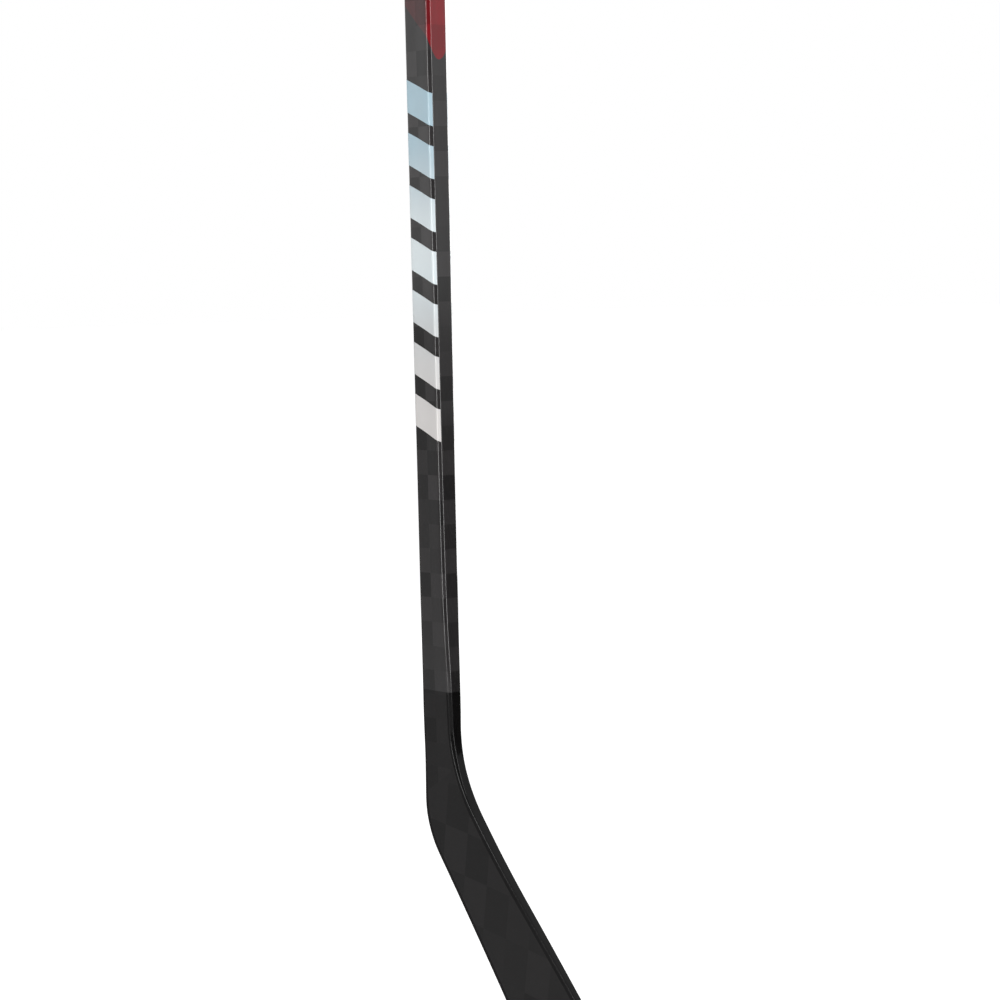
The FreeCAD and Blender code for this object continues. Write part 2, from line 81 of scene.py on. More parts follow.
# %% Camera
VIEW_AZIMUTH = math.radians(48.5)
VIEW_ELEVATION = math.radians(5)
VIEW_ROLL = math.radians(1.25)
VIEW_DISTANCE = 2.0
VIEW_HEIGHT = 0.1473   # the point looked at, above the neck
VIEW_ASIDE = 0.0486    # the shaft stands this far left of the middle
LENS = 93.6            # long, in millimetres as Blender wants it
SENSOR = 36


def place_camera(point):
    back = Vector((math.sin(VIEW_AZIMUTH) * math.cos(VIEW_ELEVATION),
                   -math.cos(VIEW_AZIMUTH) * math.cos(VIEW_ELEVATION),
                   math.sin(VIEW_ELEVATION)))
    level = Vector((math.cos(VIEW_AZIMUTH), math.sin(VIEW_AZIMUTH), 0))
    upright = back.cross(level)
    right = level * math.cos(VIEW_ROLL) - upright * math.sin(VIEW_ROLL)
    up = level * math.sin(VIEW_ROLL) + upright * math.cos(VIEW_ROLL)
    target = point + right * VIEW_ASIDE
    data = bpy.data.cameras.new("camera")
    data.lens = LENS
    data.sensor_width = SENSOR
    camera = bpy.data.objects.new("camera", data)
    bpy.context.scene.collection.objects.link(camera)
    axes = Matrix((right, up, back)).transposed()
    stand = Matrix.Translation(target + back * VIEW_DISTANCE)
    camera.matrix_world = stand @ axes.to_4x4()
    bpy.context.scene.camera = camera
    return camera


camera = place_camera(Vector((0, 0, hosel_low.z + VIEW_HEIGHT)))
print("camera at", [round(v, 3) for v in camera.location])

# %% [markdown]
# ## The sizes of the tube, and how they ease into each other
# On the real stick the laminate is moulded in one go, so the tube swells into
# the hosel without a step. A table gives width, thickness and middle at a few
# heights above the heel corner. Straight lines between them would leave faint
# creases, so each value is averaged over a short reach of the table.

# %% Sizes along the shaft
MM = 0.001
NECK = 110 * MM            # hosel ends here, above the heel corner
HEEL_Z = hosel_low.z - NECK
HOSEL_MIDDLE = 155 * MM
JOINT = 200 * MM
KNEE = 267 * MM            # the long taper ends here
TAPER_TOP = 640 * MM       # the straight part of the shaft starts here
HALF_WIDTH = plug_high.x
HALF_THICK = plug_high.y
BEVEL = 2.8 * MM
SLIM_BEVEL = 2.3 * MM
SHAFT_TABLE = [            # height, half width, half thickness, middle, bevel leg
    (NECK, 17.15 * MM, 6.5 * MM, 0.45 * MM, SLIM_BEVEL),
    (HOSEL_MIDDLE, 15.8 * MM, 7.6 * MM, 0.225 * MM, SLIM_BEVEL),
    (JOINT, 15.3 * MM, 8.1 * MM, 0, SLIM_BEVEL),
    (KNEE, HALF_WIDTH, 8.4 * MM, 0, SLIM_BEVEL),
    (TAPER_TOP, HALF_WIDTH, HALF_THICK, 0, BEVEL),
    (plug_high.z - HEEL_Z, HALF_WIDTH, HALF_THICK, 0, BEVEL),
]
EASE = 20 * MM             # values are averaged this far up and down
EASE_STEPS = 8             # readings on each side


def read_table(table, at, column):
    """Straight-line reading of one column, held level past both ends."""
    if at <= table[0][0]:
        return table[0][column]
    for low, high in zip(table, table[1:]):
        if at <= high[0]:
            share = (at - low[0]) / (high[0] - low[0])
            return low[column] + share * (high[column] - low[column])
    return table[-1][column]


def eased(table, at, column):
    spots = [at + EASE * k / EASE_STEPS for k in range(-EASE_STEPS, EASE_STEPS + 1)]
    return sum(read_table(table, spot, column) for spot in spots) / len(spots)


def shaft_size(height):
    return [eased(SHAFT_TABLE, height, column) for column in (1, 2, 3, 4)]


print("tube at the joint, half sizes", [round(v / MM, 2) for v in shaft_size(JOINT)])

# %% [markdown]
# ## One section of the tube
# The section is a rectangle with bevelled corners. Each bevel meets the faces
# in a small round, which catches the light as a thin line, and the faces are
# very slightly hollow, as they are on a real shaft. An edge profile holds one
# narrow side with its two bevels. Two of them and two wide faces make a ring.

# %% Edge profile and ring
BEVEL_ROUND = 2.1 * MM
FACE_BORDER = 4.0 * MM     # the wide face starts this far in from the edge
FACE_HOLLOW = 0.3 * MM
SIDE_HOLLOW = 0.18 * MM
FACE_COLUMNS = 14
ROUND_STEPS = 5
SIDE_STEPS = 7
ROUND_LIMIT = 0.6          # a round takes at most this share of a bevel's leg
SIDE_END = 3               # the corner where the narrow side ends
OFFSET_SHARE = 2 - math.sqrt(2)   # how a 45 degree bevel's leg follows an offset


def swell(share):
    """0 at both ends and 1 in the middle, level at the ends."""
    return 0.5 - 0.5 * math.cos(2 * math.pi * share)


def edge_profile(half_thick, bevel, rounding, hollow):
    """Inset and offset of each point, from the front border to the back one."""
    side = half_thick - bevel
    corners = [(FACE_BORDER, -half_thick), (bevel, -half_thick), (0, -side),
               (0, side), (bevel, half_thick), (FACE_BORDER, half_thick)]
    corners = [Vector(corner) for corner in corners]
    reach = min(rounding * math.tan(math.pi / 8), ROUND_LIMIT * bevel)
    points = [corners[0]]
    for k in range(1, 5):
        before = (corners[k - 1] - corners[k]).normalized() * reach + corners[k]
        after = (corners[k + 1] - corners[k]).normalized() * reach + corners[k]
        if k == SIDE_END:
            low = points[-1]
            for step in range(1, SIDE_STEPS):
                share = step / SIDE_STEPS
                inset = hollow * swell(share)
                points.append(low.lerp(before, share) + Vector((inset, 0)))
        for step in range(ROUND_STEPS):
            share = step / (ROUND_STEPS - 1)
            first = before.lerp(corners[k], share)
            points.append(first.lerp(corners[k].lerp(after, share), share))
    points.append(corners[5])
    return points


def ring(height, growth=0.0):
    """One closed section of the tube, seen from above, grown by an offset."""
    half_width, half_thick, middle, bevel = shaft_size(height)
    half_width += growth
    half_thick += growth
    bevel += OFFSET_SHARE * growth
    profile = edge_profile(half_thick, bevel, BEVEL_ROUND, SIDE_HOLLOW)
    right = [(half_width - inset, offset) for inset, offset in profile]
    left = [(-x, y) for x, y in reversed(right)]
    back, front = [], []
    for step in range(1, FACE_COLUMNS):
        share = step / FACE_COLUMNS
        across = (half_width - FACE_BORDER) * (1 - 2 * share)
        depth = half_thick - FACE_HOLLOW * swell(share)
        back.append((across, depth))
        front.append((-across, -depth))
    return [Vector((x + middle, y, HEEL_Z + height)) for x, y in right + back + left + front]


sample = ring(TAPER_TOP + 60 * MM)
girth = sum((b - a).length for a, b in zip(sample, sample[1:] + sample[:1]))
print("points in a ring", len(sample), " girth", round(girth / MM, 1), "mm")

# %% [markdown]
# ## Turning grids of points into closed solids
# Every laminate piece is a grid of points: rings stacked along the tube, or
# rows across the blade. One helper joins a grid into faces. Each face corner
# also gets its place in the laminate, in metres round and along the stick, as
# a UV map named lay, so the carbon pattern runs on from piece to piece. Doubled
# points merge, faces are turned outwards, and edges steeper than a limit stay
# crisp.

# %% Mesh helpers
CRISP = math.radians(33)
MERGE = 1e-6               # points nearer than this are one, in metres


def finish_mesh(name, bm, material):
    bmesh.ops.remove_doubles(bm, verts=bm.verts, dist=MERGE)
    thin = [edge for edge in bm.edges if edge.calc_length() < MERGE]
    bmesh.ops.dissolve_degenerate(bm, edges=thin, dist=MERGE)
    bmesh.ops.recalc_face_normals(bm, faces=bm.faces)
    for face in bm.faces:
        face.smooth = True
    for edge in bm.edges:
        edge.smooth = edge.calc_face_angle(0) < CRISP
    loose = sum(1 for edge in bm.edges if not edge.is_manifold)
    mesh = bpy.data.meshes.new(name)
    bm.to_mesh(mesh)
    bm.free()
    mesh.materials.append(material)
    piece = bpy.data.objects.new(name, mesh)
    bpy.context.scene.collection.objects.link(piece)
    print(name, "faces", len(mesh.polygons), " open edges", loose)
    return piece


def join_rows(bm, rows, lays, closed=False):
    """Faces between rows of points; lays has each point's place in the laminate."""
    lay_map = bm.loops.layers.uv.get("lay") or bm.loops.layers.uv.new("lay")
    made = [[bm.verts.new(point) for point in row] for row in rows]
    for i in range(len(rows) - 1):
        count = len(rows[i])
        for j in range(count if closed else count - 1):
            k = (j + 1) % count
            face = bm.faces.new((made[i][j], made[i][k], made[i + 1][k], made[i + 1][j]))
            places = (lays[i][j], lays[i][j + 1], lays[i + 1][j + 1], lays[i + 1][j])
            for loop, place in zip(face.loops, places):
                loop[lay_map].uv = place
    return made


def ring_lays(heights):
    """Distance round the tube from the middle of the forehand face, and height."""
    start = sample[0].x
    round_to = [start]
    for a, b in zip(sample, sample[1:] + sample[:1]):
        round_to.append(round_to[-1] + (b - a).length)
    return [[(place, HEEL_Z + height) for place in round_to] for height in heights]


def stack(name, levels, material, open_ends=False):
    """A closed solid from rings, given as pairs of height and growth."""
    levels = list(levels)
    if not open_ends:
        levels.append(levels[0])
    bm = bmesh.new()
    rows = [ring(height, growth) for height, growth in levels]
    made = join_rows(bm, rows, ring_lays([height for height, growth in levels]), closed=True)
    if open_ends:
        bm.faces.new(made[0])
        bm.faces.new(made[-1])
    return finish_mesh(name, bm, material)


def steps(low, high, pitch):
    count = max(1, round(abs(high - low) / pitch))
    return [low + (high - low) * k / count for k in range(count + 1)]


def plain_material(name):
    material = bpy.data.materials.new(name)
    material.use_nodes = True
    return material


shaft_finish = plain_material("shaft_carbon")
blade_finish = plain_material("blade_carbon")
edge_finish = plain_material("blade_edge_painted_shade")
plug_finish = plain_material("plug_plastic")
film_finish = plain_material("printed_bars")

# %% [markdown]
# ## Shaft tube
# A real shaft is wrapped from prepreg and moulded round a bladder, so it is
# one hollow tube. Here it is rings from the joint to the butt, then rings back
# down the bore. Where the overwrap covers it, the outside steps in by the
# wrap's thickness. The long straight part needs few rings, the taper more.

# %% Shaft tube
WALL = 1.6 * MM
WRAP = 0.4 * MM
joint = tube_low.z - HEEL_Z
tube_top = tube_high.z - HEEL_Z
wrap_bottom = wrap_low.z - HEEL_Z
wrap_top = wrap_high.z - HEEL_Z

LONG_PITCH = 8 * MM        # between rings on the outside
BORE_PITCH = 30 * MM
WRAP_PITCH = 6 * MM
outside = [(h, 0.0) for h in steps(wrap_top, tube_top, LONG_PITCH)]
bore = [(h, -WALL) for h in steps(tube_top, joint, BORE_PITCH)]
under_wrap = [(h, -WRAP) for h in steps(joint, wrap_top, WRAP_PITCH)]
shaft = stack("shaft_tube_laminate", outside + bore + under_wrap, shaft_finish)

# %% [markdown]
# ## Joint overwrap
# The joint between tube and hosel is wound over with a few turns of carbon
# tape and sanded flush, so all that could show is its smooth outside. It is a
# thin sleeve let into both parts.

# %% Joint overwrap
SLEEVE_PITCH = 4 * MM
sleeve = [(h, 0.0) for h in steps(wrap_bottom, wrap_top, SLEEVE_PITCH)]
inside = [(h, -WRAP) for h in steps(wrap_top, wrap_bottom, WRAP_PITCH)]
overwrap = stack("joint_overwrap", sleeve + inside, shaft_finish)

# %% [markdown]
# ## Hosel and tenon
# The hosel carries the section of the tube down into the blade's neck. Its
# upper end is a smaller tenon that is bonded inside the tube. The stack goes
# up the outside, steps in under the wrap and again for the tenon, and comes
# back down the inside.

# %% Hosel
BOND = 0.25 * MM
tenon_top = hosel_high.z - HEEL_Z
TENON = -(WALL + BOND)
INNER = TENON - WALL
HOSEL_PITCH = 3 * MM       # its taper turns more than the tube's
TENON_PITCH = 12 * MM
outside = [(h, 0.0) for h in steps(NECK, wrap_bottom, HOSEL_PITCH)]
under_wrap = [(h, -WRAP) for h in steps(wrap_bottom, joint, WRAP_PITCH)]
tenon = [(h, TENON) for h in steps(joint, tenon_top, TENON_PITCH)]
inside = [(h, INNER) for h in steps(tenon_top, NECK, TENON_PITCH)]
hosel = stack("hosel_laminate", outside + under_wrap + tenon + inside, shaft_finish)

# %% [markdown]
# ## Butt end plug
# A moulded plastic plug closes the tube. Its head has the tube's section with
# a small groove, a rounded rim and a shallow dish. Its hollow shank is pressed
# into the tube and starts with a short lead-in. Head and shank are one stack of
# rings whose two ends are closed.

# %% Plug body
RIM = 1.2 * MM
RIM_STEPS = 6
PLUG_FIT = 0.05 * MM
PLUG_WALL = 2 * MM
LEAD_IN = 1.5 * MM         # length of the slope at the shank's foot
LEAD_DEPTH = 0.6 * MM
GROOVE_AT = 0.9 * MM       # above the tube's end
GROOVE_WIDTH = 0.8 * MM
GROOVE_DEPTH = 0.2 * MM
DISH = [(0.0, -2.6 * MM), (-0.3 * MM, -3.2 * MM), (-0.7 * MM, -3.9 * MM), (-0.8 * MM, -5.0 * MM)]
SHANK = -(WALL + PLUG_FIT)
SHANK_INNER = SHANK - PLUG_WALL
butt = plug_high.z - HEEL_Z
plug_foot = plug_low.z - HEEL_Z

hollow = [(h, SHANK_INNER) for h in steps(tube_top - MM, plug_foot, 10 * MM)]
lead_in = [(plug_foot, SHANK - LEAD_DEPTH)]
shank = [(h, SHANK) for h in steps(plug_foot + LEAD_IN, tube_top, 8 * MM)]
groove_low = tube_top + GROOVE_AT
groove_high = groove_low + GROOVE_WIDTH
groove = [(tube_top, 0.0), (groove_low, 0.0), (groove_low + GROOVE_DEPTH, -GROOVE_DEPTH),
          (groove_high - GROOVE_DEPTH, -GROOVE_DEPTH), (groove_high, 0.0)]
rim = []
for k in range(RIM_STEPS + 1):
    angle = math.pi / 2 * k / RIM_STEPS
    rim.append((butt - RIM * (1 - math.sin(angle)), -RIM * (1 - math.cos(angle))))
dish = [(butt + drop, inset) for drop, inset in DISH]
plug = stack("butt_plug_body", hollow + lead_in + shank + groove + rim + dish,
             plug_finish, open_ends=True)

# %% [markdown]
# ## Outline of the blade
# A blade's outline is drawn from straight runs and tangent arcs: heel,
# bottom edge, rocker, toe, top edge and throat. A small walker follows such
# a list of moves and leaves a dense trail of points with their directions.
# Two trails start at the neck, one on the heel side and one on the throat
# side, and meet at the tip of the toe.

# %% Outline trails
SLOPE = math.radians(41)         # line of the blade's middle, from the shaft axis
BOTTOM_ANGLE = math.radians(37)
TOP_ANGLE = math.radians(44.3)
HEEL_RADIUS = 72 * MM
ROCKER_RADIUS = 430 * MM
ROCKER_TURN = math.radians(13)
TOE_REACH = 42 * MM
TOE_RADIUS = 27 * MM
THROAT_TOP = 86 * MM
THROAT_RADIUS = 115 * MM
THROAT_TURN = math.radians(38)
BLEND_RADIUS = 700 * MM
REACH = 312 * MM                 # heel corner to toe
LEVEL_FROM = 90 * MM             # rows across the neck are level above this
TRAIL_STEP = 0.5 * MM
blade_line = Vector((math.sin(SLOPE), -math.cos(SLOPE)))
heel_corner = Vector((hosel_low.x, 0))


def heading_vector(heading):
    return Vector((math.cos(heading), math.sin(heading)))


def walk(point, heading, moves):
    """Trail of (point, heading) along moves of (length or radius, turn)."""
    trail = [(point.copy(), heading)]
    for size, turn in moves:
        length = size if turn == 0 else size * abs(turn)
        count = max(1, round(length / TRAIL_STEP))
        for k in range(count):
            heading += turn / count / 2
            point = point + heading_vector(heading) * (length / count)
            heading += turn / count / 2
            trail.append((point.copy(), heading))
    return trail


def along_blade(point):
    return (point - heel_corner).dot(blade_line)


def first_past(trail, reach):
    return next(i for i, (point, heading) in enumerate(trail) if along_blade(point) >= reach)


down = -math.pi / 2
tangent = HEEL_RADIUS * math.tan(BOTTOM_ANGLE / 2)
heel_moves = [(LEVEL_FROM - tangent, 0), (HEEL_RADIUS, BOTTOM_ANGLE)]
rocker = [(ROCKER_RADIUS, ROCKER_TURN)]
trial = walk(Vector((heel_corner.x, LEVEL_FROM)), down, heel_moves + rocker)
missing = REACH - TOE_REACH - along_blade(trial[-1][0])
flat = missing / heading_vector(down + BOTTOM_ANGLE).dot(blade_line)
heel_moves += [(flat, 0)] + rocker
heel_trail = walk(Vector((heel_corner.x, LEVEL_FROM)), down, heel_moves)

throat_moves = [(LEVEL_FROM - THROAT_TOP, 0), (THROAT_RADIUS, THROAT_TURN),
                (BLEND_RADIUS, TOP_ANGLE - THROAT_TURN)]
throat_trail = walk(Vector((hosel_high.x, LEVEL_FROM)), down, throat_moves)
top_point, top_heading = throat_trail[-1]
inwards = heading_vector(top_heading - math.pi / 2)
start = top_point + inwards * TOE_RADIUS
edge = heading_vector(top_heading)
top_length = (REACH - TOE_RADIUS - along_blade(start)) / edge.dot(blade_line)
toe_middle = start + edge * top_length
low_point, low_heading = heel_trail[-1]
step = toe_middle - low_point
lift = heading_vector(low_heading + math.pi / 2)
low_radius = (step.dot(step) - TOE_RADIUS ** 2) / (2 * (step.dot(lift) - TOE_RADIUS))
ray = toe_middle - (low_point + lift * low_radius)
low_turn = math.atan2(ray.y, ray.x) - (low_heading - math.pi / 2)
tip_heading = math.atan2(blade_line.x, -blade_line.y)
heel_trail = walk(Vector((heel_corner.x, LEVEL_FROM)), down, heel_moves + [
    (low_radius, low_turn), (TOE_RADIUS, tip_heading - low_heading - low_turn)])
throat_trail = walk(Vector((hosel_high.x, LEVEL_FROM)), down, throat_moves + [
    (top_length, 0), (TOE_RADIUS, tip_heading + math.pi - (top_heading + 2 * math.pi))])
gap = (heel_trail[-1][0] - throat_trail[-1][0]).length
print("flat", round(flat / MM, 1), " top edge", round(top_length / MM, 1),
      " tip gap", round(gap / MM, 3), "mm")

# %% [markdown]
# ## Rows across the blade
# The trails are cut into matching stretches, neck to heel, heel to rocker and
# rocker to tip, and each stretch into the same number of steps on both sides.
# A row joins the two points of a step. The face thins from neck to toe and
# its middle follows a gentle curve towards the forehand.

# %% Rows, thickness and curve
BLADE_TABLE = [            # reach along the blade, half thickness
    (-72 * MM, 6.5 * MM), (0, 4.9 * MM), (314 * MM, 2.4 * MM)]
CURVE_DEPTH = 10 * MM            # the toe stands this far towards the forehand
PLAN_RADIUS = REACH ** 2 / (2 * CURVE_DEPTH)
THICK_BLEND = (50 * MM, 125 * MM)     # heights between which tube becomes blade
BEVEL_BLEND = (8 * MM, 66 * MM)       # the bevel shrinks between these
HOLLOW_BLEND = (20 * MM, 110 * MM)    # the hollow of the faces fades between these
ROUND_EDGE = 0.95 * MM           # bevel leg at the blade's edge
EDGE_ROUND = 1.4 * MM
HEEL_LENGTH = LEVEL_FROM - tangent + HEEL_RADIUS * BOTTOM_ANGLE
THROAT_LENGTH = LEVEL_FROM - THROAT_TOP + THROAT_RADIUS * THROAT_TURN
heel_cuts = [0, round(HEEL_LENGTH / TRAIL_STEP), first_past(heel_trail, REACH - TOE_REACH),
             len(heel_trail) - 1]
throat_cuts = [0, round(THROAT_LENGTH / TRAIL_STEP),
               first_past(throat_trail, REACH - TOE_REACH), len(throat_trail) - 1]
ROW_COUNTS = (44, 76, 44)        # rows to the heel, to the rocker's end, to the tip
NECK_PITCH = 4 * MM


def smooth(low, high, value):
    share = min(1.0, max(0.0, (value - low) / (high - low)))
    return share * share * (3 - 2 * share)


def pick(trail, cuts, stretch, share):
    at = cuts[stretch] + share * (cuts[stretch + 1] - cuts[stretch])
    low = min(int(at), len(trail) - 2)
    point, heading = trail[low]
    after, next_heading = trail[low + 1]
    part = at - low
    return point.lerp(after, part), heading + (next_heading - heading) * part


def half_thickness(point):
    blade = eased(BLADE_TABLE, along_blade(point), 1)
    tube = shaft_size(max(point.y, NECK))[1]
    return tube + (blade - tube) * (1 - smooth(*THICK_BLEND, point.y))


def middle_y(point):
    reach = max(0.0, along_blade(point))
    return -reach * reach / (2 * PLAN_RADIUS)


def bevel_at(point):
    """Full bevel on the neck, a small round on the blade."""
    return ROUND_EDGE + (SLIM_BEVEL - ROUND_EDGE) * smooth(*BEVEL_BLEND, point.y)


rows = []
for height in steps(NECK, LEVEL_FROM, NECK_PITCH)[:-1]:
    half_width, half_thick, middle, bevel = shaft_size(height)
    rows.append((Vector((middle - half_width, height)), Vector((1, 0)),
                 Vector((middle + half_width, height)), Vector((-1, 0))))
for stretch, count in enumerate(ROW_COUNTS):
    last_row = 1 if stretch == len(ROW_COUNTS) - 1 else 0
    for k in range(count + last_row):
        share = k / count
        low, low_way = pick(heel_trail, heel_cuts, stretch, share)
        high, high_way = pick(throat_trail, throat_cuts, stretch, share)
        rows.append((low, heading_vector(low_way + math.pi / 2),
                     high, heading_vector(high_way - math.pi / 2)))
print("rows across the blade", len(rows))

# %% [markdown]
# ## Blade skins
# The real skins are carbon cloth pressed over foam in a mould. Each is a thin
# curved plate: a grid of points over the face, and the same grid again a
# laminate's thickness further in. The grid keeps the shaft's slight hollow at
# the neck and loses it down the blade.

# %% Blade skins
SKIN = 0.9 * MM


def place(point, offset):
    return Vector((point.x, middle_y(point) + offset, HEEL_Z + point.y))


def blade_skin(name, side):
    outer, inner, lays = [], [], []
    for low, low_in, high, high_in in rows:
        start = low + low_in * FACE_BORDER
        end = high + high_in * FACE_BORDER
        hollow = FACE_HOLLOW * smooth(*HOLLOW_BLEND, min(low.y, high.y))
        top_row, under_row, lay_row = [], [], []
        for step in range(FACE_COLUMNS + 1):
            share = step / FACE_COLUMNS
            point = start.lerp(end, share)
            depth = half_thickness(point) - hollow * swell(share)
            top_row.append(place(point, side * depth))
            under_row.append(place(point, side * (depth - SKIN)))
            across = point.x if side < 0 else girth / 2 - point.x
            lay_row.append((across, HEEL_Z + point.y))
        outer.append(top_row + under_row[::-1])
        lays.append(lay_row + lay_row[::-1] + lay_row[:1])
    bm = bmesh.new()
    made = join_rows(bm, outer, lays, closed=True)
    bm.faces.new(made[0])
    return finish_mesh(name, bm, blade_finish)


front_skin = blade_skin("blade_skin_forehand", -1)
back_skin = blade_skin("blade_skin_backhand", 1)

# %% [markdown]
# ## Edge of the blade
# The two skins are closed by a band of carbon round the blade. Its near-black
# colour is painted shade for the blade's narrow edges. Its section is the edge
# profile of the tube, whose bevel shrinks to a small round past the throat. It
# is swept down the heel side, round the toe and back up the throat, as one piece.

# %% Blade edge
def edge_row(point, inward, distance, first_lay, way):
    """One section of the band and its place in the laminate; way is -1 or 1 round."""
    border = point + inward * FACE_BORDER
    bevel = bevel_at(point)
    rounding = EDGE_ROUND + (BEVEL_ROUND - EDGE_ROUND) * smooth(*BEVEL_BLEND, point.y)
    hollow = SIDE_HOLLOW * smooth(*HOLLOW_BLEND, point.y)
    profile = edge_profile(half_thickness(border), bevel, rounding, hollow)
    row, lay = [], []
    for k, (inset, offset) in enumerate(profile):
        spot = point + inward * inset
        row.append(Vector((spot.x, middle_y(border) + offset, HEEL_Z + spot.y)))
        lay.append((first_lay + way * side_places[k], distance))
    return row, lay + [lay[0]]


side_profile = edge_profile(HALF_THICK, BEVEL, BEVEL_ROUND, SIDE_HOLLOW)
side_places = [0.0]
for a, b in zip(side_profile, side_profile[1:]):
    side_places.append(side_places[-1] + (b - a).length)
edge_rows, edge_lays = [], []
distance = hosel_low.z
previous = rows[0][0]
border_lay = HALF_WIDTH - FACE_BORDER
for low, low_in, high, high_in in rows:
    distance -= (low - previous).length
    previous = low
    row, lay = edge_row(low, low_in, distance, -border_lay, -1)
    edge_rows.append(row)
    edge_lays.append(lay)
distance = hosel_low.z
previous = rows[0][2]
throat_rows = []
for low, low_in, high, high_in in rows[:-1]:
    distance -= (high - previous).length
    previous = high
    throat_rows.append(edge_row(high, high_in, distance, border_lay, 1))
for row, lay in reversed(throat_rows):
    edge_rows.append(row)
    edge_lays.append(lay)
bm = bmesh.new()
made = join_rows(bm, edge_rows, edge_lays, closed=True)
bm.faces.new(made[0])
bm.faces.new(made[-1])
blade_edge = finish_mesh("blade_edge_band_round", bm, edge_finish)

# %% [markdown]
# ## Building node trees by script
# Geometry trees and shader trees are built with the same helpers: one adds a
# named input and gives back its identifier, one adds a node and fills or links
# its inputs, and one does a sum.

# %% Node helpers
def socket_in(tree, name, kind, value):
    item = tree.interface.new_socket(name=name, in_out="INPUT", socket_type=kind)
    if value is not None:
        item.default_value = value
    return item.identifier


def add(tree, kind, inputs=None, **settings):
    """Adds a node, sets it up, and fills or links its inputs."""
    made = tree.nodes.new(kind)
    for key, value in settings.items():
        setattr(made, key, value)
    for key, value in (inputs or {}).items():
        if isinstance(value, bpy.types.NodeSocket):
            tree.links.new(value, made.inputs[key])
        else:
            made.inputs[key].default_value = value
    return made


def calc(tree, operation, *values):
    made = add(tree, "ShaderNodeMath", dict(enumerate(values)), operation=operation)
    return made.outputs[0]


print("node helpers ready")

# %% [markdown]
# ## Printed bars on the wide faces
# The film on a real shaft is a thin printed transfer under the clear coat.
# Its print here is a plain row of slanted pale bars. Equal bars at an equal
# pitch are a rule, so Geometry Nodes make them: a line of points, one slanted
# plate on each, pressed onto the shaft's own surface, and given a thickness.

# %% Tree that lays bars on a face
FILM = 0.15 * MM
PLATE_COLUMNS = 61         # enough to follow the bevels' rounds
PLATE_ROWS = 13
START_CLEAR = 12 * MM      # plates start this far off the shaft's middle
RAY_REACH = 20 * MM        # and are pressed back over at most this
bars_tree = bpy.data.node_groups.new("slanted_bars", "GeometryNodeTree")
bars_tree.interface.new_socket(name="Geometry", in_out="INPUT", socket_type="NodeSocketGeometry")
bar_ids = {
    "Shaft": socket_in(bars_tree, "Shaft", "NodeSocketObject", None),
    "Count": socket_in(bars_tree, "Count", "NodeSocketInt", 7),
    "Lowest": socket_in(bars_tree, "Lowest", "NodeSocketFloat", -1.14),
    "Pitch": socket_in(bars_tree, "Pitch", "NodeSocketFloat", 0.04),
    "Height": socket_in(bars_tree, "Height", "NodeSocketFloat", 0.025),
    "Width": socket_in(bars_tree, "Width", "NodeSocketFloat", 0.022),
    "Slant": socket_in(bars_tree, "Slant", "NodeSocketFloat", -0.5),
    "Side": socket_in(bars_tree, "Side", "NodeSocketFloat", -1.0),
    "Thickness": socket_in(bars_tree, "Thickness", "NodeSocketFloat", FILM),
    "Finish": socket_in(bars_tree, "Finish", "NodeSocketMaterial", None),
}
bars_tree.interface.new_socket(name="Geometry", in_out="OUTPUT", socket_type="NodeSocketGeometry")
asked = add(bars_tree, "NodeGroupInput").outputs
start_point = add(bars_tree, "ShaderNodeCombineXYZ", {"Z": asked["Lowest"]}).outputs[0]
pitch_vector = add(bars_tree, "ShaderNodeCombineXYZ", {"Z": asked["Pitch"]}).outputs[0]
line = add(bars_tree, "GeometryNodeMeshLine", {
    "Count": asked["Count"], "Start Location": start_point, "Offset": pitch_vector})
plate = add(bars_tree, "GeometryNodeMeshGrid", {
    "Size X": asked["Width"], "Size Y": asked["Height"],
    "Vertices X": PLATE_COLUMNS, "Vertices Y": PLATE_ROWS})
spot = add(bars_tree, "ShaderNodeSeparateXYZ", {
    0: add(bars_tree, "GeometryNodeInputPosition").outputs[0]}).outputs
lean = calc(bars_tree, "MULTIPLY_ADD", spot["X"], asked["Slant"], spot["Y"])
clear_of_face = calc(bars_tree, "MULTIPLY", asked["Side"], START_CLEAR)
upright = add(bars_tree, "ShaderNodeCombineXYZ", {
    "X": spot["X"], "Y": clear_of_face, "Z": lean}).outputs[0]
plate = add(bars_tree, "GeometryNodeSetPosition", {
    "Geometry": plate.outputs["Mesh"], "Position": upright})
bars = add(bars_tree, "GeometryNodeInstanceOnPoints", {
    "Points": line.outputs["Mesh"], "Instance": plate.outputs[0]})
bars = add(bars_tree, "GeometryNodeRealizeInstances", {"Geometry": bars.outputs[0]})
surface = add(bars_tree, "GeometryNodeObjectInfo", {"Object": asked["Shaft"]})
inward = add(bars_tree, "ShaderNodeCombineXYZ", {
    "Y": calc(bars_tree, "MULTIPLY", asked["Side"], -1.0)}).outputs[0]
hit = add(bars_tree, "GeometryNodeRaycast", {
    "Target Geometry": surface.outputs["Geometry"], "Ray Direction": inward,
    "Ray Length": RAY_REACH})
pressed = add(bars_tree, "GeometryNodeSetPosition", {
    "Geometry": bars.outputs[0], "Position": hit.outputs["Hit Position"]})
lifted = add(bars_tree, "ShaderNodeCombineXYZ", {
    "Y": calc(bars_tree, "MULTIPLY", asked["Side"], asked["Thickness"])}).outputs[0]
raised = add(bars_tree, "GeometryNodeExtrudeMesh", {
    "Mesh": pressed.outputs[0], "Offset": lifted, "Offset Scale": 1.0, "Individual": False})
under = add(bars_tree, "GeometryNodeFlipFaces", {"Mesh": pressed.outputs[0]})
whole = add(bars_tree, "GeometryNodeJoinGeometry")
bars_tree.links.new(raised.outputs["Mesh"], whole.inputs[0])
bars_tree.links.new(under.outputs[0], whole.inputs[0])
welded = add(bars_tree, "GeometryNodeMergeByDistance", {
    "Geometry": whole.outputs[0], "Distance": 0.01 * MM})
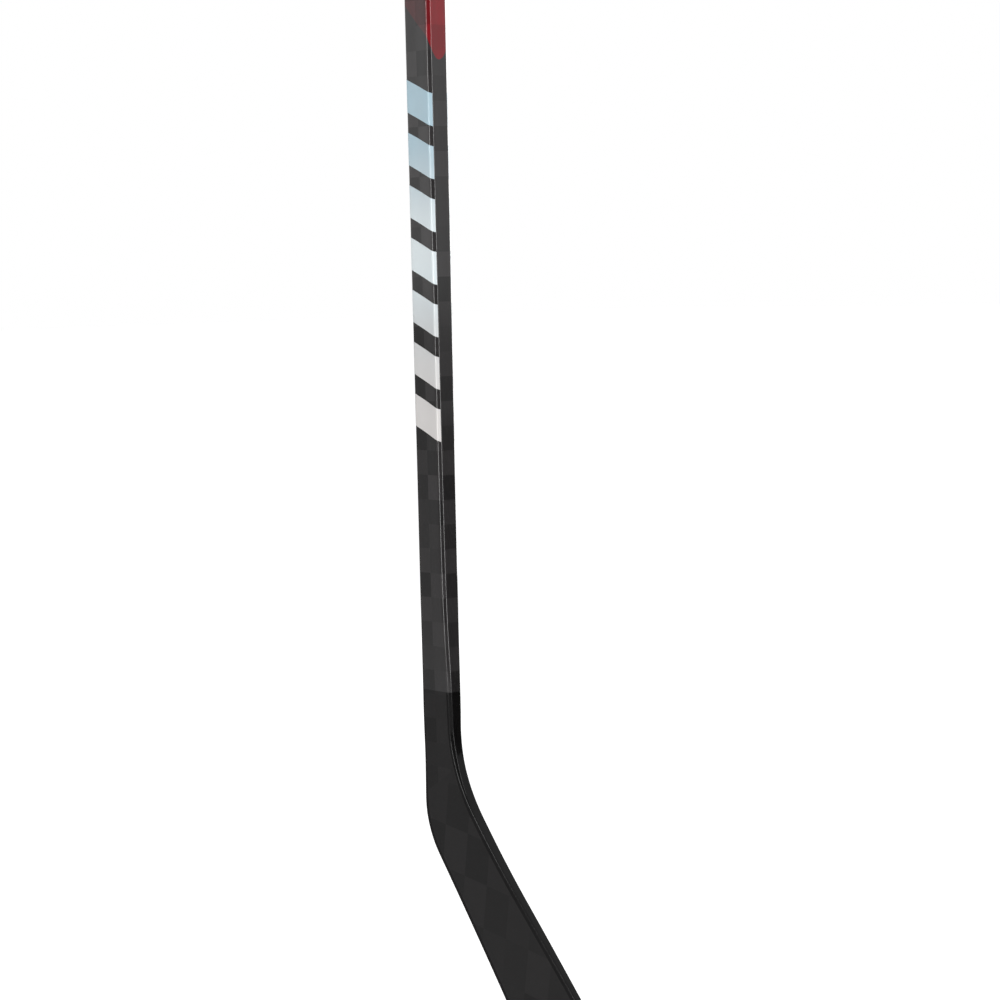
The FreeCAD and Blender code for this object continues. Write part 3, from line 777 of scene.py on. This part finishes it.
real = add(bars_tree, "GeometryNodeRealizeInstances", {"Geometry": welded.outputs[0]})
painted = add(bars_tree, "GeometryNodeSetMaterial", {
    "Geometry": real.outputs[0], "Material": asked["Finish"]})
add(bars_tree, "NodeGroupOutput", {0: painted.outputs[0]})
print("bar tree nodes", len(bars_tree.nodes))

# %% [markdown]
# ## Bars on both faces
# The tree runs once for each wide face, on an empty holder. The bars fill the
# film's height, so their pitch is worked out from the film in the CAD model.
# The result is turned into a plain mesh and the holder is thrown away.

# %% Bars on both faces
BAR_COUNT = 7
BAR_SHARE = 0.62          # bar to pitch
SLANT = -0.44             # fall across the face, towards the toe side


def lay_bars(name, side):
    width = film_high.x - film_low.x
    tall = film_high.z - film_low.z - width * abs(SLANT)
    pitch = tall / (BAR_COUNT - 1 + BAR_SHARE)
    bar = pitch * BAR_SHARE
    holder = bpy.data.objects.new("holder", bpy.data.meshes.new("holder"))
    bpy.context.scene.collection.objects.link(holder)
    modifier = holder.modifiers.new("bars", "NODES")
    modifier.node_group = bars_tree
    values = {
        "Shaft": shaft, "Count": BAR_COUNT, "Pitch": pitch, "Height": bar, "Width": width,
        "Lowest": film_low.z + width * abs(SLANT) / 2 + bar / 2, "Slant": SLANT,
        "Side": float(side), "Thickness": FILM, "Finish": film_finish}
    for key, value in values.items():
        modifier[bar_ids[key]] = value
    bpy.context.view_layer.update()
    evaluated = holder.evaluated_get(bpy.context.evaluated_depsgraph_get())
    mesh = bpy.data.meshes.new_from_object(evaluated)
    bpy.data.objects.remove(holder)
    bm = bmesh.new()
    bm.from_mesh(mesh)
    return finish_mesh(name, bm, film_finish)


front_bars = lay_bars("printed_bars_forehand", -1)
back_bars = lay_bars("printed_bars_backhand", 1)

# %% [markdown]
# ## Spread tow, the carbon's pattern
# Spread-tow cloth is woven from flat tapes, so it shows as a chequer of large
# blocks whose fibres run one way or the other. One shader group makes it for
# every carbon piece: it takes the place in the laminate, turns it, cuts it
# into cells and puts out a tone for each block and a height for its threads.

# %% Shader groups
def open_group(name, inputs, outputs):
    tree = bpy.data.node_groups.new(name, "ShaderNodeTree")
    for label, kind, value in inputs:
        item = tree.interface.new_socket(name=label, in_out="INPUT", socket_type=kind)
        if value is not None:
            item.default_value = value
    for label, kind in outputs:
        tree.interface.new_socket(name=label, in_out="OUTPUT", socket_type=kind)
    return tree, add(tree, "NodeGroupInput").outputs


CHANCE_SHARE = 0.6         # of a block's tone; the rest comes from the chequer
THREAD_RELIEF = 0.2        # height of the threads against the step at a seam
SEAM_WIDTH = 0.05          # of a block
tow, tow_in = open_group("spread_tow", [
    ("Place", "NodeSocketVector", None), ("Turn", "NodeSocketFloat", 0.0),
    ("Block Across", "NodeSocketFloat", 0.0154), ("Block Along", "NodeSocketFloat", 0.0189),
    ("Threads", "NodeSocketFloat", 16.0)], [
    ("Tone", "NodeSocketFloat"), ("Height", "NodeSocketFloat")])
turned = add(tow, "ShaderNodeVectorRotate", {
    "Vector": tow_in["Place"], "Angle": tow_in["Turn"]}, rotation_type="Z_AXIS").outputs[0]
block = add(tow, "ShaderNodeCombineXYZ", {
    "X": tow_in["Block Across"], "Y": tow_in["Block Along"], "Z": 1.0}).outputs[0]
scaled = add(tow, "ShaderNodeVectorMath", {0: turned, 1: block}, operation="DIVIDE").outputs[0]
cell = add(tow, "ShaderNodeVectorMath", {0: scaled}, operation="FLOOR").outputs[0]
inside_cell = add(tow, "ShaderNodeVectorMath", {0: scaled}, operation="FRACTION").outputs[0]
cell_xyz = add(tow, "ShaderNodeSeparateXYZ", {0: cell}).outputs
part_xyz = add(tow, "ShaderNodeSeparateXYZ", {0: inside_cell}).outputs
count = calc(tow, "ADD", cell_xyz["X"], cell_xyz["Y"])
parity = calc(tow, "FLOORED_MODULO", count, 2.0)
chance = add(tow, "ShaderNodeTexWhiteNoise", {"Vector": cell}, noise_dimensions="2D").outputs[0]
chequer = calc(tow, "MULTIPLY", parity, 1 - CHANCE_SHARE)
tone = calc(tow, "MULTIPLY_ADD", chance, CHANCE_SHARE, chequer)
waves = calc(tow, "MULTIPLY", tow_in["Threads"], 2 * math.pi)
across_wave = calc(tow, "SINE", calc(tow, "MULTIPLY", part_xyz["X"], waves))
along_wave = calc(tow, "SINE", calc(tow, "MULTIPLY", part_xyz["Y"], waves))
wave = add(tow, "ShaderNodeMix", {0: parity, 2: across_wave, 3: along_wave}).outputs[0]
edge_x = calc(tow, "PINGPONG", part_xyz["X"], 0.5)
edge_y = calc(tow, "PINGPONG", part_xyz["Y"], 0.5)
seam = add(tow, "ShaderNodeMapRange", {
    0: calc(tow, "MINIMUM", edge_x, edge_y), 1: 0.0, 2: SEAM_WIDTH}).outputs[0]
height = calc(tow, "MULTIPLY_ADD", wave, THREAD_RELIEF, seam)
add(tow, "NodeGroupOutput", {"Tone": tone, "Height": height})
print("tow group nodes", len(tow.nodes))

# %% [markdown]
# ## Handling marks
# Clear-coated carbon is never perfectly even: it has faint cloudy smears and a
# little dust. A second group puts out both as masks from object space, so the
# plastic, the print and the carbon can all share it at their own strength.

# %% Handling group
SPECK_SCALE = 900.0        # cells to the metre
GRAIN_SCALE = 1600.0
marks, marks_in = open_group("handling_marks", [
    ("Place", "NodeSocketVector", None), ("Scale", "NodeSocketFloat", 30.0)], [
    ("Smear", "NodeSocketFloat"), ("Speck", "NodeSocketFloat"), ("Grain", "NodeSocketFloat")])
cloud = add(marks, "ShaderNodeTexNoise", {
    "Vector": marks_in["Place"], "Scale": marks_in["Scale"], "Detail": 5.0}).outputs[0]
smear = add(marks, "ShaderNodeMapRange", {0: cloud, 1: 0.35, 2: 0.7}).outputs[0]
specks = add(marks, "ShaderNodeTexVoronoi", {
    "Vector": marks_in["Place"], "Scale": SPECK_SCALE}).outputs[0]
speck = add(marks, "ShaderNodeMapRange", {0: specks, 1: 0.14, 2: 0.05}).outputs[0]
grain = add(marks, "ShaderNodeTexNoise", {
    "Vector": marks_in["Place"], "Scale": GRAIN_SCALE, "Detail": 2.0}).outputs[0]
add(marks, "NodeGroupOutput", {"Smear": smear, "Speck": speck, "Grain": grain})
print("shader groups", tow.name, marks.name)

# %% [markdown]
# ## Carbon finishes
# The shaft has spread tow under a satin clear coat. Its upper part is tinted
# red, strongest on the narrow sides and bevels, and the tint ends on a
# diagonal. The blade has coarser cloth laid a few degrees off, and below the
# throat the last ply ends in a fine line. Masks that change over the surface
# drive the colour and roughness, and fixed numbers sit on the shader itself.

# %% Shader helpers
BLUE_SHARE = 0.3           # of a grey's warmth


def mix_colour(tree, factor, first, second):
    made = add(tree, "ShaderNodeMix", {0: factor, 6: first, 7: second}, data_type="RGBA")
    return made.outputs[2]


def ramp(tree, value, low, high, first=0.0, last=1.0):
    return add(tree, "ShaderNodeMapRange", {
        0: value, 1: low, 2: high, 3: first, 4: last}, interpolation_type="SMOOTHSTEP").outputs[0]


def use_group(tree, group, inputs):
    return add(tree, "ShaderNodeGroup", inputs, node_tree=group).outputs


def grey(level, warm=0.0):
    """A grey; warm leans it to red, with a little blue so it doesn't turn brown."""
    return (level * (1 + warm), level, level * (1 + BLUE_SHARE * warm), 1.0)


print("a warm grey", [round(v, 3) for v in grey(0.5, 0.1)])

# %% [markdown]
# ## Where the red tint lies
# The tint is one mask, read from object space. Its lower end is a diagonal
# across the wide face and hangs lower on the narrow side, and it fades out
# under the hands.

# %% Red tint
RED_LOW = 636 * MM        # tint ends here on the heel side of the wide face
RED_FALL = 1.0            # the end falls this much across the face
RED_LOBE = 15 * MM        # and hangs this much lower in the middle of the narrow side
RED_EDGE = 0.8 * MM       # softness of that end
RED_FADE = 1010 * MM      # the tint fades out above this
RED_FADE_LENGTH = 160 * MM


def start_finish(material):
    tree = material.node_tree
    shader = tree.nodes["Principled BSDF"]
    coordinates = add(tree, "ShaderNodeTexCoord").outputs["Object"]
    axes = add(tree, "ShaderNodeSeparateXYZ", {0: coordinates}).outputs
    return tree, shader, coordinates, axes


def red_mask(tree, axes):
    """1 where the tint lies: above a diagonal, fading out towards the hands."""
    line = calc(tree, "MULTIPLY_ADD", axes["X"], RED_FALL, axes["Z"])
    off_middle = calc(tree, "DIVIDE", axes["Y"], HALF_THICK)
    lobe = calc(tree, "SUBTRACT", 1.0, calc(tree, "MULTIPLY", off_middle, off_middle))
    line = calc(tree, "MULTIPLY_ADD", lobe, RED_LOBE, line)
    low = HEEL_Z + RED_LOW - HALF_WIDTH
    cut_line = ramp(tree, line, low, low + RED_EDGE)
    fade_from = HEEL_Z + RED_FADE
    fade = ramp(tree, axes["Z"], fade_from, fade_from + RED_FADE_LENGTH, 1.0, 0.0)
    return calc(tree, "MULTIPLY", cut_line, fade)


print("tint from", round(RED_LOW / MM), "to", round((RED_FADE + RED_FADE_LENGTH) / MM), "mm")

# %% [markdown]
# ## One function for all carbon
# Shaft, blade and edge differ in their block colours, gloss and coat, so one
# function makes all three. The tint and the blade's coarser ply are switched
# on where they belong.

# %% Carbon finish
FLAT_FACE = (11.6 * MM, 12.6 * MM)    # the wide face gives way to the bevel here
FACE_TINT = 0.25                      # strength of the tint on the wide face
RED_DARK = (0.11, 0.003, 0.006, 1.0)
RED_LIGHT = (0.19, 0.006, 0.011, 1.0)
PLY_SLOPE = -0.62
PLY_END = 38 * MM                     # the last ply ends here, above the heel corner
PLY_EDGE = 0.6 * MM
PLY_STEP = -2.0
COARSE_CLOTH = {"Turn": math.radians(8), "Block Across": 26 * MM,
                "Block Along": 34 * MM, "Threads": 26.0}
SMEAR_ROUGHNESS = 0.06
TONE_ROUGHNESS = -0.08
DUST = 0.12
DUST_COLOUR = grey(0.2)
CLOTH_RELIEF = 0.05 * MM
COAT_ROUGHNESS = 0.09


def carbon(material, levels, roughness, specular, coat, red=False, coarse=False):
    """levels are the dark and light block colours."""
    tree, shader, coordinates, axes = start_finish(material)
    lay = add(tree, "ShaderNodeUVMap", uv_map="lay").outputs[0]
    cloth = use_group(tree, tow, {"Place": lay, "Turn": 0.0})
    tone, height = cloth["Tone"], cloth["Height"]
    if coarse:
        ply = use_group(tree, tow, {"Place": lay, **COARSE_CLOTH})
        ply_line = calc(tree, "MULTIPLY_ADD", axes["X"], PLY_SLOPE, axes["Z"])
        end = HEEL_Z + PLY_END
        below = ramp(tree, ply_line, end, end + PLY_EDGE, 1.0, 0.0)
        tone = add(tree, "ShaderNodeMix", {0: below, 2: tone, 3: ply["Tone"]}).outputs[0]
        height = add(tree, "ShaderNodeMix", {0: below, 2: height, 3: ply["Height"]}).outputs[0]
        height = calc(tree, "MULTIPLY_ADD", below, PLY_STEP, height)
    masks = use_group(tree, marks, {"Place": coordinates, "Scale": 24.0})
    colour = mix_colour(tree, tone, grey(levels[0], 0.06), grey(levels[1], 0.08))
    rough = calc(tree, "MULTIPLY_ADD", tone, TONE_ROUGHNESS, roughness)
    rough = calc(tree, "MULTIPLY_ADD", masks["Smear"], SMEAR_ROUGHNESS, rough)
    if red:
        off_face = ramp(tree, calc(tree, "ABSOLUTE", axes["X"]), *FLAT_FACE)
        strength = calc(tree, "MULTIPLY_ADD", off_face, 1 - FACE_TINT, FACE_TINT)
        tint = mix_colour(tree, tone, RED_DARK, RED_LIGHT)
        mask = calc(tree, "MULTIPLY", red_mask(tree, axes), strength)
        colour = mix_colour(tree, mask, colour, tint)
    dusty = calc(tree, "MULTIPLY", masks["Speck"], DUST)
    colour = mix_colour(tree, dusty, colour, DUST_COLOUR)
    tree.links.new(colour, shader.inputs["Base Color"])
    tree.links.new(rough, shader.inputs["Roughness"])
    relief = add(tree, "ShaderNodeBump", {
        "Height": height, "Strength": 0.12, "Distance": CLOTH_RELIEF}).outputs[0]
    tree.links.new(relief, shader.inputs["Normal"])
    shader.inputs["Specular IOR Level"].default_value = specular
    shader.inputs["Coat Weight"].default_value = coat
    shader.inputs["Coat Roughness"].default_value = COAT_ROUGHNESS


carbon(shaft_finish, (0.005, 0.026), 0.42, 0.08, 0.85, red=True)
carbon(blade_finish, (0.0055, 0.011), 0.5, 0.16, 0.08, coarse=True)
# The edge band's near-black block colours are painted shade for the blade's narrow edges.
carbon(edge_finish, (0.0015, 0.003), 0.38, 0.05, 0.25)
print("carbon on", shaft_finish.name, blade_finish.name, edge_finish.name)

# %% [markdown]
# ## Print, plastic, foam and resin
# The print goes from a cool pale blue at its upper end to a warm grey lower
# down, by way of a lighter tone in the middle. The plug is black moulded
# plastic with a fine spark texture. The parts inside get what they are made of
# too: closed-cell foam, milky adhesive and the rib's raw carbon, since the
# model can be opened up.

# %% Print
PRINT_LOW = (0.56, 0.54, 0.53, 1.0)
PRINT_MIDDLE = (0.60, 0.66, 0.68, 1.0)
PRINT_HIGH = (0.31, 0.44, 0.51, 1.0)
PRINT_SMEAR = 0.1
PRINT_RELIEF = 0.02 * MM


def finish_print(material):
    tree, shader, coordinates, axes = start_finish(material)
    share = ramp(tree, axes["Z"], film_low.z, film_high.z)
    masks = use_group(tree, marks, {"Place": coordinates, "Scale": 40.0})
    colour = mix_colour(tree, share, PRINT_LOW, PRINT_HIGH)
    middle = calc(tree, "MULTIPLY", ramp(tree, share, 0.15, 0.5),
                  ramp(tree, share, 0.55, 0.95, 1.0, 0.0))
    colour = mix_colour(tree, middle, colour, PRINT_MIDDLE)
    smeared = calc(tree, "MULTIPLY", masks["Smear"], PRINT_SMEAR)
    colour = mix_colour(tree, smeared, colour, grey(0.5))
    tree.links.new(colour, shader.inputs["Base Color"])
    rough = calc(tree, "MULTIPLY_ADD", masks["Grain"], 0.1, 0.3)
    tree.links.new(rough, shader.inputs["Roughness"])
    relief = add(tree, "ShaderNodeBump", {
        "Height": masks["Grain"], "Strength": 0.05, "Distance": PRINT_RELIEF}).outputs[0]
    tree.links.new(relief, shader.inputs["Normal"])
    shader.inputs["Coat Weight"].default_value = 0.3


finish_print(film_finish)
print("print on", film_finish.name)

# %% Plastic, foam and resin
def finish_plain(material, first, second, roughness, scale, relief_height, strength=0.3):
    """Two tones mixed by a cloudy noise, with a fine raised grain."""
    tree, shader, coordinates, _ = start_finish(material)
    masks = use_group(tree, marks, {"Place": coordinates, "Scale": 60.0})
    cells = add(tree, "ShaderNodeTexVoronoi", {"Vector": coordinates, "Scale": scale}).outputs[0]
    tree.links.new(mix_colour(tree, masks["Smear"], first, second), shader.inputs["Base Color"])
    rough = calc(tree, "MULTIPLY_ADD", masks["Grain"], 0.15, roughness)
    tree.links.new(rough, shader.inputs["Roughness"])
    relief = add(tree, "ShaderNodeBump", {
        "Height": cells, "Strength": strength, "Distance": relief_height}).outputs[0]
    tree.links.new(relief, shader.inputs["Normal"])
    return material


finish_plain(plug_finish, grey(0.012), grey(0.02), 0.42, 2400.0, 0.05 * MM)
foam = finish_plain(plain_material("closed_cell_foam"), (0.62, 0.56, 0.4, 1.0),
                    (0.7, 0.66, 0.52, 1.0), 0.75, 1100.0, 0.25 * MM, 0.6)
damping = finish_plain(plain_material("damping_foam"), grey(0.05), grey(0.09), 0.85,
                       700.0, 0.4 * MM, 0.6)
glue = finish_plain(plain_material("milky_adhesive"), (0.42, 0.4, 0.3, 1.0),
                    (0.5, 0.48, 0.38, 1.0), 0.35, 500.0, 0.1 * MM)
raw = finish_plain(plain_material("raw_rib_carbon"), grey(0.01), grey(0.03), 0.55,
                   900.0, 0.1 * MM)
INSIDE = {"hosel_core": foam, "blade_lower_core": foam, "blade_upper_core": foam,
          "damping_plug": damping, "tenon_bond": glue, "blade_rib": raw}
for node, material in INSIDE.items():
    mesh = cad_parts[node].data
    mesh.materials.clear()
    mesh.materials.append(material)
print("finished inside parts", sorted(INSIDE))

# %% [markdown]
# ## Floor
# The stick stands on one large pale sheet, a millimetre under its toe. The
# sheet glows for the camera only, so it stays pale far away and puts no light
# of its own on the stick.

# %% Floor
FLOOR_REACH = 30.0
FLOOR_DROP = 1 * MM
FLOOR_GLOW = 0.75
FLOOR_COLOUR = (0.85, 0.85, 0.85, 1.0)
WHITE = (1.0, 1.0, 1.0, 1.0)


def make_floor():
    height = cad_low.z - FLOOR_DROP
    corners = [(-1, -1), (1, -1), (1, 1), (-1, 1)]
    points = [(x * FLOOR_REACH, y * FLOOR_REACH, height) for x, y in corners]
    mesh = bpy.data.meshes.new("floor")
    mesh.from_pydata(points, [], [(0, 1, 2, 3)])
    floor = bpy.data.objects.new("floor", mesh)
    bpy.context.scene.collection.objects.link(floor)
    material = plain_material("pale_floor")
    tree = material.node_tree
    shader = tree.nodes["Principled BSDF"]
    shader.inputs["Base Color"].default_value = FLOOR_COLOUR
    shader.inputs["Roughness"].default_value = 0.9
    shader.inputs["Specular IOR Level"].default_value = 0.1
    shader.inputs["Emission Color"].default_value = WHITE
    seen = add(tree, "ShaderNodeLightPath").outputs["Is Camera Ray"]
    glow = calc(tree, "MULTIPLY", seen, FLOOR_GLOW)
    tree.links.new(glow, shader.inputs["Emission Strength"])
    mesh.materials.append(material)
    floor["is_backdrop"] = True


make_floor()
print("floor at", round(cad_low.z - FLOOR_DROP, 4), "m")

# %% [markdown]
# ## White room
# The world is white to the camera and to reflections, and dimmer as light, so
# the gloss shows a white room while the stick isn't washed out.

# %% World
WORLD_LIGHT = 0.32


def make_world():
    world = bpy.data.worlds.new("white_room")
    world.use_nodes = True
    tree = world.node_tree
    background = tree.nodes["Background"]
    path = add(tree, "ShaderNodeLightPath").outputs
    seen = calc(tree, "MAXIMUM", path["Is Camera Ray"], path["Is Glossy Ray"])
    seen = calc(tree, "MAXIMUM", seen, path["Is Transmission Ray"])
    level = add(tree, "ShaderNodeMapRange", {0: seen, 3: WORLD_LIGHT, 4: 1.0}).outputs[0]
    tree.links.new(level, background.inputs["Strength"])
    background.inputs["Color"].default_value = WHITE
    bpy.context.scene.world = world


make_world()
print("world light", WORLD_LIGHT)

# %% [markdown]
# ## Lamps
# Two tall soft lamps stand in front and to the right, so the rounds of the
# bevels draw thin bright lines down the shaft. They stand off the square
# views, where a flat side would mirror them whole. A weak lamp behind keeps
# the back from going flat.

# %% Lamps
LAMPS = [      # name, azimuth, distance, height, width and height of the panel, watts
    ("front_strip", 15, 2.6, -0.75, (0.4, 2.4), 46),
    ("side_strip", 74, 2.6, -0.6, (0.35, 2.4), 40),
    ("back_strip", 215, 3.0, -0.6, (1.0, 2.0), 14),
]


def from_azimuth(azimuth, distance):
    turn = math.radians(azimuth)
    return Vector((math.sin(turn), -math.cos(turn), 0)) * distance


def make_lamp(name, azimuth, distance, height, size, power):
    target = Vector((0, 0, height))
    spot = from_azimuth(azimuth, distance) + target
    data = bpy.data.lights.new(name, "AREA")
    data.shape = "RECTANGLE"
    data.size, data.size_y = size
    data.energy = power
    lamp = bpy.data.objects.new(name, data)
    lamp.location = spot
    lamp.rotation_euler = (target - spot).to_track_quat("-Z", "Y").to_euler()
    bpy.context.scene.collection.objects.link(lamp)


for lamp in LAMPS:
    make_lamp(*lamp)
print("lamps", [name for name, *rest in LAMPS])

# %% [markdown]
# ## Dark cards
# A studio keeps one side of a glossy thing dark with black cards. These two
# are seen by reflections only: the camera, the soft light and the shadows pass
# through them. They darken the narrow side and the bevel next to it.

# %% Cards
CARDS = [      # name, azimuth, distance, lower edge, upper edge, width
    ("side_flag", 133, 1.3, -1.9, -1.2, 1.3),
    ("near_flag", 48.5, 2.3, -2.0, 0.6, 1.5),
]
CARD_COLOUR = (0.004, 0.004, 0.004, 1.0)


def make_card(name, azimuth, distance, low, high, width):
    turn = math.radians(azimuth)
    middle = from_azimuth(azimuth, distance)
    aside = Vector((math.cos(turn), math.sin(turn), 0)) * (width / 2)
    points = [(side.x, side.y, z) for z in (low, high) for side in (middle - aside, middle + aside)]
    mesh = bpy.data.meshes.new(name)
    mesh.from_pydata(points, [], [(0, 1, 3, 2)])
    card = bpy.data.objects.new(name, mesh)
    bpy.context.scene.collection.objects.link(card)
    material = plain_material(name)
    shader = material.node_tree.nodes["Principled BSDF"]
    shader.inputs["Base Color"].default_value = CARD_COLOUR
    shader.inputs["Specular IOR Level"].default_value = 0.0
    mesh.materials.append(material)
    card.visible_camera = False
    card.visible_diffuse = False
    card.visible_shadow = False
    card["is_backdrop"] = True


for card in CARDS:
    make_card(*card)
print("cards", [name for name, *rest in CARDS])

# %% [markdown]
# ## What rides on what
# The stick has no joints, so every piece rides on its one body. Each piece
# names the CAD nodes that it stands for, which are hidden, and a material slot.

# %% Pieces into the frame
PIECES = [
    (shaft, "carbon_shaft", ["shaft_tube"]),
    (overwrap, "carbon_shaft", ["joint_wrap"]),
    (hosel, "carbon_shaft", ["hosel_shell"]),
    (plug, "plug_plastic", ["butt_end_plug"]),
    (front_skin, "carbon_blade", ["blade_front_skin"]),
    (back_skin, "carbon_blade", ["blade_back_skin"]),
    (blade_edge, "carbon_edge", ["blade_edge_band"]),
    (front_bars, "printed_film", ["front_film"]),
    (back_bars, "printed_film", ["back_film"]),
]
for piece, finish_slot, nodes in PIECES:
    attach(piece, "root")
    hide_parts(*nodes)
bpy.context.scene.view_settings.view_transform = "Standard"
print("pieces", len(PIECES))

# %% [markdown]
# The visual model has to fill the CAD box and not outgrow it. Both boxes are
# written down, so they can be compared after every change.

# %% Sizes and end
low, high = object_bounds()
print("growth", [round((b - a) / MM, 2) for a, b in zip(cad_high, high)])
